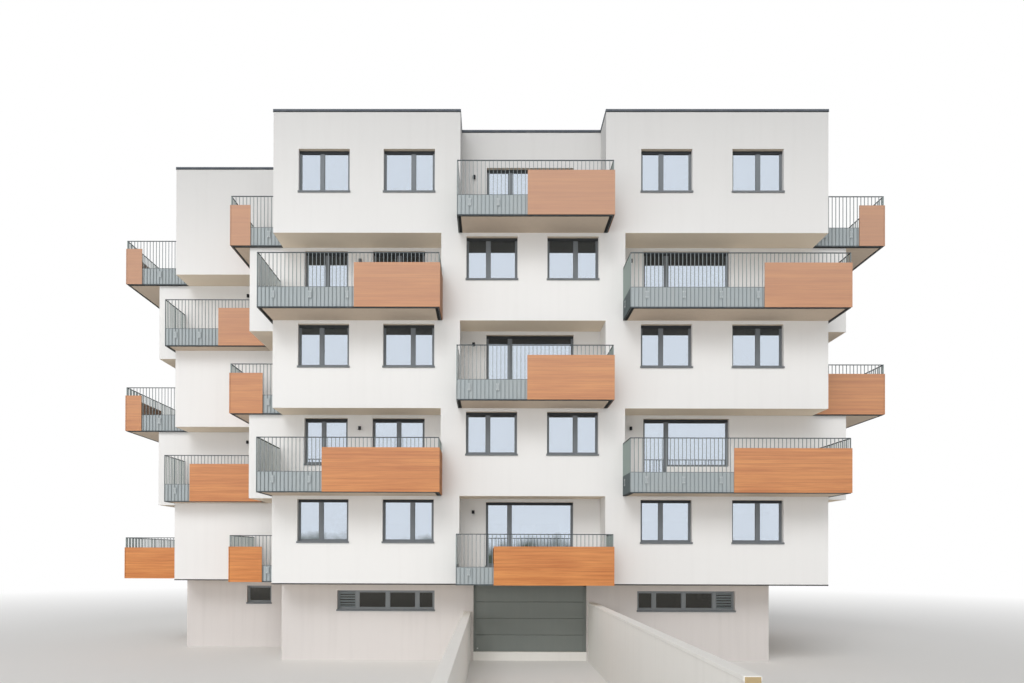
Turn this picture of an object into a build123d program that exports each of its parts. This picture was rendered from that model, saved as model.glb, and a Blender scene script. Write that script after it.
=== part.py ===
from build123d import *
import os

# An apartment block of five storeys over a garage storey, in millimetres, +Z up.
# The plan is two equal blocks, staggered, and each is the other turned half round
# about the origin. The origin is the centre of the plan, at the height where the
# lowest walls stand. The garage drive runs down to the middle of the front, -Y.

# Levels
base_slab = 310
garage_height = 2480
storey_height = 3000
storeys = 5
parapet_height = 1240
coping_height = 85

# Plan
block_width = 18970
block_depth = 14000
block_shift_x = 4940
block_shift_y = 3660
step = 1200
recess_from_corner = 6405
recess_width = 4980
bay_from_corner = 6960
bay_width = 6290

# Walls and floors
wall = 400
floor_above = 500
floor_below = 200
roof_slab_height = 400
coping_overhang = 15

# Windows and doors, with heights over the underside of their storey
window_width = 1750
sill = 1430
lintel = 120
door_sill = 600
low_sill = 1170
side_sill = 1240
door_leaf = 850
reveal = 150
frame_depth = 80
frame_width = 65
end_window_width = 1550
end_window_share = {2: 0.43, 4: 0.5}
end_door_width = 1870
recess_unit_width = 3130
far_unit_width = 3070
side_unit_width = 2800
pane = 20
pane_setback = 30

# Garage storey
garage_inset = 1555
garage_door_width = 4045
garage_door_lintel = 100
garage_door_thickness = 50
cellar_window_width = 3490
cellar_window_height = 690
cellar_lintel = 290
vent_width = 1000
ramp_length = 15700
ramp_wall = 230
ramp_left_of_door = 105
ramp_right_of_door = 50
ramp_left_height = 1740
ramp_right_height = 2085

# Balconies, with heights over the underside of their slab
deep_reach = 2500
short_reach = 1860
side_balcony_gap = 1600
balcony_slab = 300
front_channel = 60
side_channel = 100
past_recess = 80
past_bay = 65
short_of_bay = 110
sheet_top = 680
panel_bottom = 20
panel_top = 1460
rail_top = 1800
low_sheet_top = 590
low_panel_bottom = 0
low_panel_top = 1260
low_rail_top = 1670
rail_depth = 28
bottom_rail = 35
bar_pitch = 130
bar_width = 14
sheet_thickness = 10
bar_thickness = 25
panel_thickness = 30
corner_gap = 10

# Where the boards of a balcony begin or end, by storey. None is its end.
middle_boards_from = {1: 1170, 3: 2240, 5: 2240}
corner_boards_to = {1: 1125, 3: 1125, 5: 665}
far_boards_from = 2000
far_end_boards_to = {1: None, 3: 585, 5: 585}
near_boards_to = 3000
near_end_boards_from = {3: None, 5: 1595}
left_boards_from = {2: 2000, 4: 3020}
right_boards_from = {2: 3280, 4: 4260}
wing_boards_from = {2: 850, 4: 1930}

# Wall left free before, between and after the openings of each wall. Where a size
# changes a wall's length, they share the change in proportion.
garage_front_gaps = (1985, 1395, 1810, 1200)
garage_rear_gaps = (1985, 7250, 2755)
garage_side_gaps = (4000, 4110)
garage_vent_gaps = (2450, 1490)
odd_left_gaps = (865, 1165, 875)
odd_recess_gaps = (900, 950)
odd_right_gaps = (1200, 1365, 1520)
odd_side_gaps = (2300, 3800, 2300)
odd_corner_gaps = (700, 2110)
even_left_gaps = (1990, 890, 660)
even_bay_gaps = (860, 1020, 910)
even_right_gaps = (880, 4170)
even_side_gaps = (1300, 1875, 1875, 1300)
even_corner_gaps = (500, 2310)

# Worked out from the sizes above
half_x = (block_width + block_shift_x) / 2
half_y = (block_depth + block_shift_y) / 2
left = block_shift_x - half_x
front = -half_y
back = half_y - block_shift_y
first_level = base_slab + garage_height
top_level = first_level + storeys * storey_height
cladding = sheet_thickness + bar_thickness + panel_thickness
head = storey_height - lintel
garage_door_height = garage_height - garage_door_lintel
cellar_head = first_level - cellar_lintel
cellar_sill = cellar_head - cellar_window_height
side_length = (block_depth - 2 * step - side_balcony_gap) / 2

nodes = {}


def add(node, solids, place=Location()):
    """Put solids in a node, moved to their place."""
    for solid in solids:
        nodes.setdefault(node, []).append(place * solid)


def level(storey):
    """The height of a storey's underside."""
    return first_level + (storey - 1) * storey_height


def whole(half):
    """A closed outline from its front half: the rear half is the same, turned half round."""
    return half + [(-x, -y) for x, y in half]


def odd_outline():
    """Storeys 1, 3 and 5: long faces out, with a recess in the middle."""
    recess = left + recess_from_corner
    return whole([
        (left, front),
        (recess, front),
        (recess, front + step),
        (recess + recess_width, front + step),
        (recess + recess_width, front),
        (half_x, front),
        (half_x, back),
        (-left, back),
    ])


def even_outline():
    """Storeys 2 and 4: ends out and long faces back, with a bay in the middle."""
    bay = left - step + bay_from_corner
    return whole([
        (left - step, front + step),
        (bay, front + step),
        (bay, front),
        (bay + bay_width, front),
        (bay + bay_width, front + step),
        (half_x + step, front + step),
        (half_x + step, back - step),
        (step - left, back - step),
    ])


def garage_outline():
    """What the storeys above have in common, with the right end drawn in."""
    outline = whole([
        (left, front + step),
        (half_x, front + step),
        (half_x, back - step),
        (-left, back - step),
    ])
    return [(min(x, half_x - garage_inset), y) for x, y in outline]


def outline_of(storey):
    return odd_outline() if storey % 2 else even_outline()


def heading(outline, number):
    """An edge's direction as a unit step."""
    (x0, y0), (x1, y1) = outline[number], outline[(number + 1) % len(outline)]
    length = abs(x1 - x0) + abs(y1 - y0)
    return (x1 - x0) / length, (y1 - y0) / length


def inset(outline, distance):
    """The outline drawn in by a distance on every side."""
    points = []
    for number, (x, y) in enumerate(outline):
        (ax, ay), (bx, by) = heading(outline, number - 1), heading(outline, number)
        points.append((x - distance * (ay + by), y + distance * (ax + bx)))
    return points


def edge_length(outline, number):
    (x0, y0), (x1, y1) = outline[number], outline[(number + 1) % len(outline)]
    return abs(x1 - x0) + abs(y1 - y0)


def edge_place(outline, number, height):
    """Stands at an edge's start: x runs along the edge, y goes into the building."""
    x, y = outline[number]
    along_x, along_y = heading(outline, number)
    angle = {(1, 0): 0, (0, 1): 90, (-1, 0): 180, (0, -1): -90}[(round(along_x), round(along_y))]
    return Location((x, y, height), (0, 0, angle))


def turns_in(outline, number):
    """True where the outline has an inner corner."""
    (ax, ay), (bx, by) = heading(outline, number - 1), heading(outline, number)
    return ax * by - ay * bx < 0


def flat_plate(outline, low, high):
    face = Face(Wire.make_polygon([(x, y, low) for x, y in outline], close=True))
    return extrude(face, amount=high - low, dir=(0, 0, 1))


def upright_plate(outline, holes, near, far):
    """A plate that stands up, with its outline and holes in x and z, from y near to far."""
    border = Wire.make_polygon([(x, near, z) for x, z in outline], close=True)
    cuts = [Wire.make_polygon([(x, near, z) for x, z in hole], close=True) for hole in holes]
    return extrude(Face(border, cuts), amount=far - near, dir=(0, 1, 0))


def rectangle(x0, x1, z0, z1):
    return [(x0, z0), (x1, z0), (x1, z1), (x0, z1)]


def opening(lights):
    """The outline of a window whose lights stand side by side under one head."""
    points = []
    for x0, x1, z0, _ in lights:
        if points and points[-1][1] == z0:
            points.pop()
            points.append((x1, z0))
        else:
            points += [(x0, z0), (x1, z0)]
    high = lights[0][3]
    return points + [(lights[-1][1], high), (lights[0][0], high)]


def sash_pair(share=0.5, width=window_width, low=sill):
    """A window of two sashes, parted at a share of its width."""
    return [(0, share * width, low, head), (share * width, width, low, head)]


def door_beside_window(width):
    """A balcony door at the left and a window beside it."""
    return [(0, door_leaf, door_sill, head), (door_leaf, width, low_sill, head)]


def door_pair(width):
    return [(0, width / 2, door_sill, head), (width / 2, width, door_sill, head)]


def single_door():
    return [(0, door_leaf, door_sill, head)]


def band(shares, width, low, high):
    """A low cellar window, parted into lights by shares of its width."""
    lights, start = [], 0
    for share in shares:
        end = start + share * width
        lights.append((start, end, low, high))
        start = end
    return lights


def spread(length, gaps, openings):
    """Stands openings along a wall, with gaps that share what the wall has left."""
    room = length - sum(lights[-1][1] for lights in openings)
    placed, x = [], 0
    for gap, lights in zip(gaps, openings):
        x += room * gap / sum(gaps)
        placed.append([(x + x0, x + x1, z0, z1) for x0, x1, z0, z1 in lights])
        x += lights[-1][1]
    return placed


# The windows of a storey's front half, by the edge they are in. The rear half has the same.
odd_windows = {
    0: (odd_left_gaps, [sash_pair(0.45), sash_pair(0.58)]),
    2: (odd_recess_gaps, [door_beside_window(recess_unit_width)]),
    4: (odd_right_gaps, [sash_pair(0.41), sash_pair(0.53)]),
    5: (odd_side_gaps, [door_beside_window(side_unit_width)] * 2),
    7: (odd_corner_gaps, [single_door()]),
}


def even_windows(storey):
    return {
        0: (even_left_gaps, [
            sash_pair(end_window_share[storey], end_window_width, side_sill),
            door_pair(end_door_width),
        ]),
        2: (even_bay_gaps, [sash_pair(0.43), sash_pair(0.56)]),
        4: (even_right_gaps, [door_beside_window(far_unit_width)]),
        5: (even_side_gaps, [sash_pair()] * 3),
        7: (even_corner_gaps, [single_door()]),
    }


left_shares = (0.2, 0.315, 0.305, 0.18)
cellar_window = band(left_shares, cellar_window_width, cellar_sill, cellar_head)
cellar_window_turned = band(left_shares[::-1], cellar_window_width, cellar_sill, cellar_head)
cellar_vent = band((1,), vent_width, cellar_sill, cellar_head)
garage_doorway = [(0, garage_door_width, base_slab, base_slab + garage_door_height)]
garage_front = (garage_front_gaps, [cellar_window, garage_doorway, cellar_window_turned])
garage_door_left = spread(edge_length(garage_outline(), 0), *garage_front)[1][0][0]
garage_opening = rectangle(
    garage_door_left, garage_door_left + garage_door_width,
    base_slab, base_slab + garage_door_height,
)


def wall_slab(outline, number, low, high, holes):
    """One straight wall. Walls along x take the corners, and walls along y fit between them."""
    along_x = abs(heading(outline, number)[0]) > 0.5
    ends = []
    for corner in (number, (number + 1) % len(outline)):
        if along_x:
            ends.append(wall if turns_in(outline, corner) else 0)
        else:
            ends.append(0 if turns_in(outline, corner) else -wall)
    border = rectangle(-ends[0], edge_length(outline, number) + ends[1], low, high)
    return along_x, upright_plate(border, holes, 0, wall)


def frame(lights):
    """A window's frame, with a hole for each light."""
    holes = [
        rectangle(x0 + frame_width, x1 - frame_width, z0 + frame_width, z1 - frame_width)
        for x0, x1, z0, z1 in lights
    ]
    return upright_plate(opening(lights), holes, reveal, reveal + frame_depth)


def panes(lights):
    """The glass in each light of a frame."""
    near = reveal + pane_setback
    return [
        upright_plate(
            rectangle(x0 + frame_width, x1 - frame_width, z0 + frame_width, z1 - frame_width),
            [], near, near + pane,
        )
        for x0, x1, z0, z1 in lights
    ]


def build_walls(name, outline, bottom, low, high, windows):
    """The walls of one storey, with its frames and glass. Heights are over the bottom."""
    for number in range(len(outline)):
        place = edge_place(outline, number, bottom)
        units = spread(edge_length(outline, number), *windows.get(number, ((), [])))
        along_x, slab = wall_slab(outline, number, low, high, [opening(unit) for unit in units])
        add(f"{name}_{'front_and_rear' if along_x else 'side'}_walls", [slab], place)
        for unit in units:
            add(f"{name}_window_frames", [frame(unit)], place)
            add(f"{name}_glass", panes(unit), place)


def both_halves(windows, edges):
    """Repeat the front half's windows in the rear half."""
    return {number + half: units for number, units in windows.items() for half in (0, edges // 2)}


def build_storeys():
    for storey in range(1, storeys + 1):
        outline = outline_of(storey)
        windows = odd_windows if storey % 2 else even_windows(storey)
        high = storey_height
        if storey == storeys:
            high += parapet_height - coping_height
        build_walls(
            f"storey_{storey}", outline, level(storey), floor_above, high,
            both_halves(windows, len(outline)),
        )


def build_floors():
    """Each floor lies between the walls below it and under the walls above it."""
    for storey in range(1, storeys + 1):
        below = outline_of(storey - 1) if storey > 1 else garage_outline()
        under = flat_plate(inset(below, wall), level(storey) - floor_below, level(storey))
        over = flat_plate(outline_of(storey), level(storey), level(storey) + floor_above)
        add(f"storey_{storey}_floor", (under + over).solids())
    add("garage_floor", [flat_plate(inset(garage_outline(), wall), 0, base_slab)])
    roof = inset(outline_of(storeys), wall)
    add("roof_slab", [flat_plate(roof, top_level, top_level + roof_slab_height)])


def build_coping():
    outline = outline_of(storeys)
    high = top_level + parapet_height
    low = high - coping_height
    ring = flat_plate(inset(outline, -coping_overhang), low, high)
    ring -= flat_plate(inset(outline, wall + coping_overhang), low, high)
    add("parapet_coping", ring.solids())


def build_garage_storey():
    outline = garage_outline()
    rear = len(outline) // 2
    windows = {
        0: garage_front,
        1: (garage_side_gaps, [cellar_window]),
        rear: (garage_rear_gaps, [cellar_window, cellar_window_turned]),
        rear + 1: (garage_side_gaps, [cellar_window]),
        rear + 2: (garage_vent_gaps, [cellar_vent]),
    }
    for number in range(len(outline)):
        place = edge_place(outline, number, 0)
        units = spread(edge_length(outline, number), *windows.get(number, ((), [])))
        holes = [opening(unit) for unit in units]
        along_x, slab = wall_slab(outline, number, 0, first_level, holes)
        if number == 0:
            del units[1]
            # The door's opening reaches the floor slab, so the wall there is cut to its foot.
            slab -= upright_plate(
                rectangle(garage_opening[0][0], garage_opening[1][0], 0, base_slab), [], 0, wall
            )
        add(f"garage_{'front_and_rear' if along_x else 'side'}_walls", slab.solids(), place)
        for unit in units:
            add("garage_window_frames", [frame(unit)], place)
            add("garage_glass", panes(unit), place)


def build_garage_door():
    place = edge_place(garage_outline(), 0, 0)
    sill_plate = rectangle(garage_opening[0][0], garage_opening[1][0], 0, base_slab)
    near = reveal
    add(
        "garage_door",
        [upright_plate(garage_opening, [], near, near + garage_door_thickness)],
        place,
    )
    add("garage_threshold", [upright_plate(sill_plate, [], 0, wall)], place)


def build_ramp_walls():
    """The two retaining walls beside the drive, from the garage front outwards."""
    place = edge_place(garage_outline(), 0, 0)
    for start, height in (
        (garage_opening[0][0] - ramp_left_of_door - ramp_wall, ramp_left_height),
        (garage_opening[1][0] + ramp_right_of_door, ramp_right_height),
    ):
        border = rectangle(start, start + ramp_wall, 0, height)
        add("ramp_walls", [upright_plate(border, [], -ramp_length, 0)], place)


def heights(storey):
    """The tops of a railing's sheet, its boards and its rail, with the boards' foot first."""
    if storey == 1:
        return low_panel_bottom, low_sheet_top, low_panel_top, low_rail_top
    return panel_bottom, sheet_top, panel_top, rail_top


def bars(length, high):
    """A railing's flat panel: upright bars between a bottom rail and a top rail."""
    count = max(1, round(length / bar_pitch))
    pitch = (length - bar_width) / count
    gaps = [
        rectangle(
            number * pitch + bar_width, (number + 1) * pitch, bottom_rail, high - rail_depth
        )
        for number in range(count)
    ]
    return rectangle(0, length, 0, high), gaps


def balcony_side(storey, place, length, grow, screen, boards):
    """One open side of a balcony: a sheet, the bars over it and boards over the bars.

    grow is how far each layer passes the side at its start and end, from its inner and
    outer face. boards run between two lengths along the side, and None is its end.
    A screen's sheet is as high as the rail.
    """
    inner = 0
    foot, low_top, board_top, high = heights(storey)
    layers = (("sheets", sheet_thickness), ("railings", bar_thickness), ("boards", panel_thickness))
    for name, thickness in layers:
        outer = inner + thickness
        start, end = [extra(inner, outer) for extra in grow]
        if name == "sheets":
            border, holes = rectangle(-start, length + end, 0, high if screen else low_top), []
            node = "balcony_sheets"
        elif name == "railings":
            border, holes = bars(length + start + end, high)
            border = [(x - start, z) for x, z in border]
            holes = [[(x - start, z) for x, z in hole] for hole in holes]
            node = f"storey_{storey}_railings"
        elif boards:
            near_end = -start if boards[0] is None else boards[0]
            far_end = length + end if boards[1] is None else boards[1]
            border, holes = rectangle(near_end, far_end, foot, board_top), []
            node = "balcony_boards"
        else:
            break
        add(node, [upright_plate(border, holes, -outer, -inner)], place)
        inner = outer


def to_wall(inner, outer):
    return 0


def round_corner(inner, outer):
    return outer


def behind_corner(inner, outer):
    return inner - corner_gap


def box_between(x0, x1, y0, y1):
    """A piece as high as a balcony's slab."""
    return flat_plate([(x0, y0), (x1, y0), (x1, y1), (x0, y1)], 0, balcony_slab)


def build_balcony(storey, outline, number, start, end, reach, open_left, open_right, boards,
                  left_boards=None, right_boards=None, left_screen=False, draw_in=(0, 0)):
    """A balcony on a wall, from start to end along it.

    open_left and open_right are how much of each end stands free, measured in from the front.
    draw_in is how much narrower the free part of the slab is, on the left and the right.
    """
    place = edge_place(outline, number, level(storey)) * Location((start, 0, 0))
    width = end - start
    sheet_line = reach - cladding
    depth = sheet_line - front_channel
    left_edge, right_edge = draw_in[0], width - draw_in[1]
    slab = box_between(left_edge, right_edge, -depth, 0)
    if any(draw_in):
        behind = min(open_left or reach, open_right or reach)
        slab += box_between(0 if draw_in[0] else left_edge, width if draw_in[1] else right_edge,
                            behind - reach, 0)
    add(f"storey_{storey}_balcony_slabs", slab.solids(), place)

    near = left_edge - (side_channel if open_left else 0)
    far = right_edge + (side_channel if open_right else 0)
    channels = [box_between(near, far, -sheet_line, -depth)]
    if open_left:
        channels.append(box_between(near, left_edge, corner_gap - depth, open_left - reach))
    if open_right:
        channels.append(box_between(right_edge, far, corner_gap - depth, open_right - reach))
    add(f"storey_{storey}_railings", channels, place)

    front_side = place * Location((near, -sheet_line, 0))
    grow = (round_corner if open_left else to_wall, round_corner if open_right else to_wall)
    shifted = tuple(mark if mark is None else mark - near for mark in boards)
    balcony_side(storey, front_side, far - near, grow, False, shifted)
    if open_left:
        free = open_left - cladding
        side = place * Location((near, free - sheet_line, 0), (0, 0, -90))
        balcony_side(storey, side, free, (to_wall, behind_corner), left_screen, left_boards)
    if open_right:
        free = open_right - cladding
        side = place * Location((far, -sheet_line, 0), (0, 0, 90))
        balcony_side(storey, side, free, (behind_corner, to_wall), False, right_boards)


def build_balconies():
    """Every balcony of the front half, each with its twin in the rear half."""
    past_face = deep_reach - step
    corner_width = block_shift_y - step
    far_start = block_depth - step - side_length
    for storey in range(1, storeys + 1):
        outline = outline_of(storey)
        edges = len(outline)
        for half in (0, edges // 2):
            if storey % 2:
                build_balcony(
                    storey, outline, half + 2, 0, recess_width, deep_reach, past_face, past_face,
                    (middle_boards_from[storey], None), right_boards=(None, None),
                    left_screen=True, draw_in=(past_recess, past_recess),
                )
                build_balcony(
                    storey, outline, half + 7, 0, corner_width, short_reach, 0, short_reach,
                    (None, None), right_boards=(None, corner_boards_to[storey]),
                )
                build_balcony(
                    storey, outline, half + 5, far_start, far_start + side_length, deep_reach,
                    deep_reach, deep_reach, (far_boards_from, None),
                    right_boards=(None, far_end_boards_to[storey]),
                )
                if storey > 1:
                    build_balcony(
                        storey, outline, half + 5, step, step + side_length, deep_reach,
                        deep_reach, deep_reach, (None, near_boards_to),
                        left_boards=(near_end_boards_from[storey], None),
                    )
            else:
                left_width = edge_length(outline, 0) - step
                build_balcony(
                    storey, outline, half, step, step + left_width, deep_reach,
                    deep_reach, past_face, (left_boards_from[storey], None),
                    right_boards=(None, None), left_screen=True, draw_in=(0, short_of_bay),
                )
                right_width = edge_length(outline, 4) - step
                build_balcony(
                    storey, outline, half + 4, 0, right_width, deep_reach,
                    past_face, deep_reach, (right_boards_from[storey], None), left_screen=True,
                    draw_in=(past_bay, 0),
                )
                wing_width = edge_length(outline, 6) - step
                build_balcony(
                    storey, outline, half + 6, step, step + wing_width, short_reach,
                    short_reach, 0, (wing_boards_from[storey], None),
                )


def write_nodes():
    os.makedirs("parts", exist_ok=True)
    for name, solids in nodes.items():
        shape = solids[0] if len(solids) == 1 else Compound(children=solids)
        export_step(shape, f"parts/{name}.step")


build_garage_storey()
build_garage_door()
build_ramp_walls()
build_floors()
build_storeys()
build_coping()
build_balconies()
write_nodes()
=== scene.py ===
"""Finishes an apartment block: surfaces, sashes, sills, railing parts, garage door and decks."""

import math

import bmesh
import bpy
from mathutils import Matrix, Vector


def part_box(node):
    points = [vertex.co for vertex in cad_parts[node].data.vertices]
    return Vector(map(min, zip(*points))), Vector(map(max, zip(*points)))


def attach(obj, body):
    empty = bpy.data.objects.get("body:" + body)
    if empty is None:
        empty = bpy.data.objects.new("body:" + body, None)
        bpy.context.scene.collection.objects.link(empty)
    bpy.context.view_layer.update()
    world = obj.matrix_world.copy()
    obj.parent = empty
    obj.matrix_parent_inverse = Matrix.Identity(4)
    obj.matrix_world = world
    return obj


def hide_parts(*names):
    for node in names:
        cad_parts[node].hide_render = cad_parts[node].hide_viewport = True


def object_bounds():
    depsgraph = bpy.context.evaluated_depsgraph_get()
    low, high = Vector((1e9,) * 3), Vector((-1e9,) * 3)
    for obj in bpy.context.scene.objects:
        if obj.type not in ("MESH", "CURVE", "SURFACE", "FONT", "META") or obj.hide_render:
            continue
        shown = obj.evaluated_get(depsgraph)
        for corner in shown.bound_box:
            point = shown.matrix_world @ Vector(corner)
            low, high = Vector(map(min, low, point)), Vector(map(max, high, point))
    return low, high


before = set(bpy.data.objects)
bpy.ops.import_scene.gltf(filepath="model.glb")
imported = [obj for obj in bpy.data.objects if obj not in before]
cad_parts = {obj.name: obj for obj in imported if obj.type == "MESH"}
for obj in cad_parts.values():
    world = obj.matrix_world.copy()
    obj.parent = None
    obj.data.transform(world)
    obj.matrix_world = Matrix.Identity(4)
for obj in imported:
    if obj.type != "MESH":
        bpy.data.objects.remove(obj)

bl_info = {
    "name": "Apartment block finish",
    "version": (1, 0, 0),
    "blender": (4, 5, 0),
    "location": "View3D > Sidebar > Block",
    "description": "Dresses a packed apartment block with its surfaces and small parts",
    "category": "Object",
}

# The whole building, in metres
CAD_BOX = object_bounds()
BODY = "root"
STOREYS = range(1, 6)
LEVELS = {storey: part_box(f"storey_{storey}_balcony_slabs")[0].z for storey in STOREYS}
STOREY = LEVELS[2] - LEVELS[1]

# Walls, windows and doors
WALL = 0.4
FLOOR_EDGE = 0.5
REVEAL = 0.15
GLASS_DEPTH = 0.18
DOOR_FOOT_BELOW = 0.8
END_LIGHT_WIDTHS = (0.53, 0.6)

# Heights on a balcony, over the underside of its slab
SHEET_TOP = 0.68
RAIL_FOOT = 1.765

# Pieces of a balcony
BOTTOM_RAIL = 0.035
TOP_RAIL = 0.028
LOWEST_PANEL = 0.6
BOARD_HEIGHT = 0.125

# How closely places are compared
TOUCH = 0.002
LEVEL_SLACK = 0.003
STOREY_SLACK = 0.01
PROBE = 0.6


# Reading the frame

def shells(node):
    """The corners of each separate solid in a CAD node."""
    mesh = bmesh.new()
    mesh.from_mesh(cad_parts[node].data)
    bmesh.ops.remove_doubles(mesh, verts=mesh.verts, dist=1e-5)
    seen, groups = set(), []
    for start in mesh.verts:
        if start in seen:
            continue
        seen.add(start)
        group, waiting = [], [start]
        while waiting:
            vert = waiting.pop()
            group.append(vert.co.copy())
            for edge in vert.link_edges:
                other = edge.other_vert(vert)
                if other not in seen:
                    seen.add(other)
                    waiting.append(other)
        groups.append(group)
    mesh.free()
    return groups


def box_round(group):
    """The lowest and the highest corner of some points."""
    low = Vector(min(co[axis] for co in group) for axis in range(3))
    high = Vector(max(co[axis] for co in group) for axis in range(3))
    return low, high


def solids(node):
    """The box of each separate solid in a CAD node, as (lowest corner, highest corner)."""
    boxes = [box_round(group) for group in shells(node)]
    return sorted(boxes, key=lambda box: tuple(round(value, 3) for value in (*box[0], *box[1])))


def over(node, point):
    """True if the point stands over or under the node in plan."""
    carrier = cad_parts[node]
    return carrier.ray_cast(Vector((point.x, point.y, CAD_BOX[1].z + 1)), Vector((0, 0, -1)))[0]


def facing(box, node):
    """Stands in front of an upright box that the node carries.

    Gives its place and width. x runs right as seen from outside, y goes in and z goes up.
    The origin is the box's lower left corner on its outer side.
    """
    low, high = box
    size, middle = high - low, (low + high) / 2
    out = Vector((1, 0, 0)) if size.x < size.y else Vector((0, 1, 0))
    if over(node, middle + out * PROBE):
        out = -out
    if out.y < 0:
        corner, angle, width = (low.x, low.y), 0, size.x
    elif out.x > 0:
        corner, angle, width = (high.x, low.y), 90, size.y
    elif out.y > 0:
        corner, angle, width = (high.x, high.y), 180, size.x
    else:
        corner, angle, width = (low.x, high.y), -90, size.y
    turn = Matrix.Rotation(math.radians(angle), 4, "Z")
    return Matrix.Translation((*corner, low.z)) @ turn, width


def inside(point, box, margin):
    """True if a point is in a box that has grown by a margin."""
    return all(box[0][axis] - margin < point[axis] < box[1][axis] + margin for axis in range(3))


def storey_at(height):
    """The storey that a height is in, 0 for the garage."""
    return sum(height >= LEVELS[storey] - STOREY_SLACK for storey in STOREYS)


def window_nodes(kind):
    """Each storey's node of a kind with the floor that tells its outside, the garage's first."""
    yield f"garage_{kind}", "garage_floor"
    for storey in STOREYS:
        yield f"storey_{storey}_{kind}", f"storey_{storey}_floor"


# Modelling

def deselect():
    bpy.ops.object.select_all(action="DESELECT")


def applied(name):
    """The primitive that was just added, named, with its place and size in its mesh."""
    piece = bpy.context.object
    piece.name = name
    bpy.ops.object.transform_apply(location=True, rotation=True, scale=True)
    return piece


def bevel_edges(piece, width, segments=1):
    modifier = piece.modifiers.new("edges", "BEVEL")
    modifier.width = width
    modifier.segments = segments
    modifier.limit_method = "ANGLE"
    bpy.context.view_layer.objects.active = piece
    bpy.ops.object.modifier_apply(modifier=modifier.name)


def block(name, size, centre, bevel=0.0):
    """A box of a size, with its edges rounded off by bevel."""
    deselect()
    bpy.ops.mesh.primitive_cube_add(size=1, location=centre, scale=size)
    piece = applied(name)
    if bevel:
        bevel_edges(piece, bevel)
    return piece


def bolt_head(centre, radius):
    """A six-sided head that points at -Y."""
    deselect()
    bpy.ops.mesh.primitive_cylinder_add(
        vertices=6, radius=radius, depth=0.012, location=centre, rotation=(math.pi / 2, 0, 0))
    piece = applied("bolt")
    bevel_edges(piece, 0.002)
    return piece


def ring(name, border, depth, bevel):
    """An upright frame of one metre by one, with its lower left corner at the origin."""
    deselect()
    bpy.ops.mesh.primitive_plane_add(size=1, location=(0.5, 0, 0.5), rotation=(math.pi / 2, 0, 0))
    piece = applied(name)
    bpy.ops.object.mode_set(mode="EDIT")
    bpy.ops.mesh.select_all(action="SELECT")
    bpy.ops.mesh.inset(thickness=border)
    bpy.ops.mesh.delete(type="FACE")
    bpy.ops.mesh.select_all(action="SELECT")
    bpy.ops.mesh.extrude_region_move(TRANSFORM_OT_translate={"value": (0, depth, 0)})
    bpy.ops.mesh.select_all(action="SELECT")
    bpy.ops.mesh.normals_make_consistent(inside=False)
    bpy.ops.object.mode_set(mode="OBJECT")
    bevel_edges(piece, bevel)
    return piece


def copy_of(template, place, width=1.0, height=1.0):
    """A copy with its own mesh. Its right and upper halves move so that it gets a size."""
    piece = template.copy()
    piece.data = template.data.copy()
    bpy.context.scene.collection.objects.link(piece)
    for vert in piece.data.vertices:
        if vert.co.x > 0.5:
            vert.co.x += width - 1
        if vert.co.z > 0.5:
            vert.co.z += height - 1
    piece.data.transform(place)
    return piece


def fuse(pieces):
    """Joins pieces into the first of them."""
    deselect()
    for piece in pieces:
        piece.select_set(True)
    bpy.context.view_layer.objects.active = pieces[0]
    if len(pieces) > 1:
        bpy.ops.object.join()
    return bpy.context.object


def join(pieces, name, finish):
    """Joins pieces into one that has a finish and rides on the building."""
    piece = fuse(pieces)
    piece.name = name
    piece.data.materials.clear()
    piece.data.materials.append(finish_of(finish))
    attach(piece, BODY)
    deselect()
    return piece


def drop(*pieces):
    """Deletes templates that have been copied."""
    for piece in pieces:
        mesh = piece.data
        bpy.data.objects.remove(piece)
        bpy.data.meshes.remove(mesh)


def along_walls(storey, template, lift, reach):
    """Copies of a template along the outer faces of a storey's walls, round every corner."""
    pieces = []
    for kind, short in (("front_and_rear_walls", 0.0), ("side_walls", WALL)):
        for box in solids(f"storey_{storey}_{kind}"):
            place, width = facing(box, f"storey_{storey}_floor")
            place = place @ Matrix.Translation((-short - reach, 0, lift))
            pieces.append(copy_of(template, place, width + 2 * (short + reach)))
    return pieces


# Nodes of the materials

def new_group(name, inputs, outputs):
    """A shader node group with its sockets. inputs hold (name, type, default)."""
    group = bpy.data.node_groups.new(name, "ShaderNodeTree")
    for label, kind, default in inputs:
        socket = group.interface.new_socket(label, in_out="INPUT", socket_type=kind)
        socket.default_value = default
    for label, kind in outputs:
        group.interface.new_socket(label, in_out="OUTPUT", socket_type=kind)
    start = group.nodes.new("NodeGroupInput")
    end = group.nodes.new("NodeGroupOutput")
    return group, start.outputs, end.inputs


def stretched(tree, scale):
    """Object coordinates, stretched."""
    coordinates = tree.nodes.new("ShaderNodeTexCoord")
    mapping = tree.nodes.new("ShaderNodeMapping")
    mapping.inputs["Scale"].default_value = scale
    tree.links.new(coordinates.outputs["Object"], mapping.inputs["Vector"])
    return mapping.outputs["Vector"]


def split(tree, vector):
    """The X, Y and Z of a vector."""
    node = tree.nodes.new("ShaderNodeSeparateXYZ")
    tree.links.new(vector, node.inputs[0])
    return node.outputs


def place_on(tree):
    """The X, Y and Z of a point, in Object coordinates."""
    return split(tree, tree.nodes.new("ShaderNodeTexCoord").outputs["Object"])


def normal_on(tree):
    """The X, Y and Z of the way a face points."""
    return split(tree, tree.nodes.new("ShaderNodeNewGeometry").outputs["True Normal"])


def noise(tree, vector, scale, detail=4.0, roughness=0.5):
    texture = tree.nodes.new("ShaderNodeTexNoise")
    texture.inputs["Scale"].default_value = scale
    texture.inputs["Detail"].default_value = detail
    texture.inputs["Roughness"].default_value = roughness
    tree.links.new(vector, texture.inputs["Vector"])
    return texture.outputs["Fac"]


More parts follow.
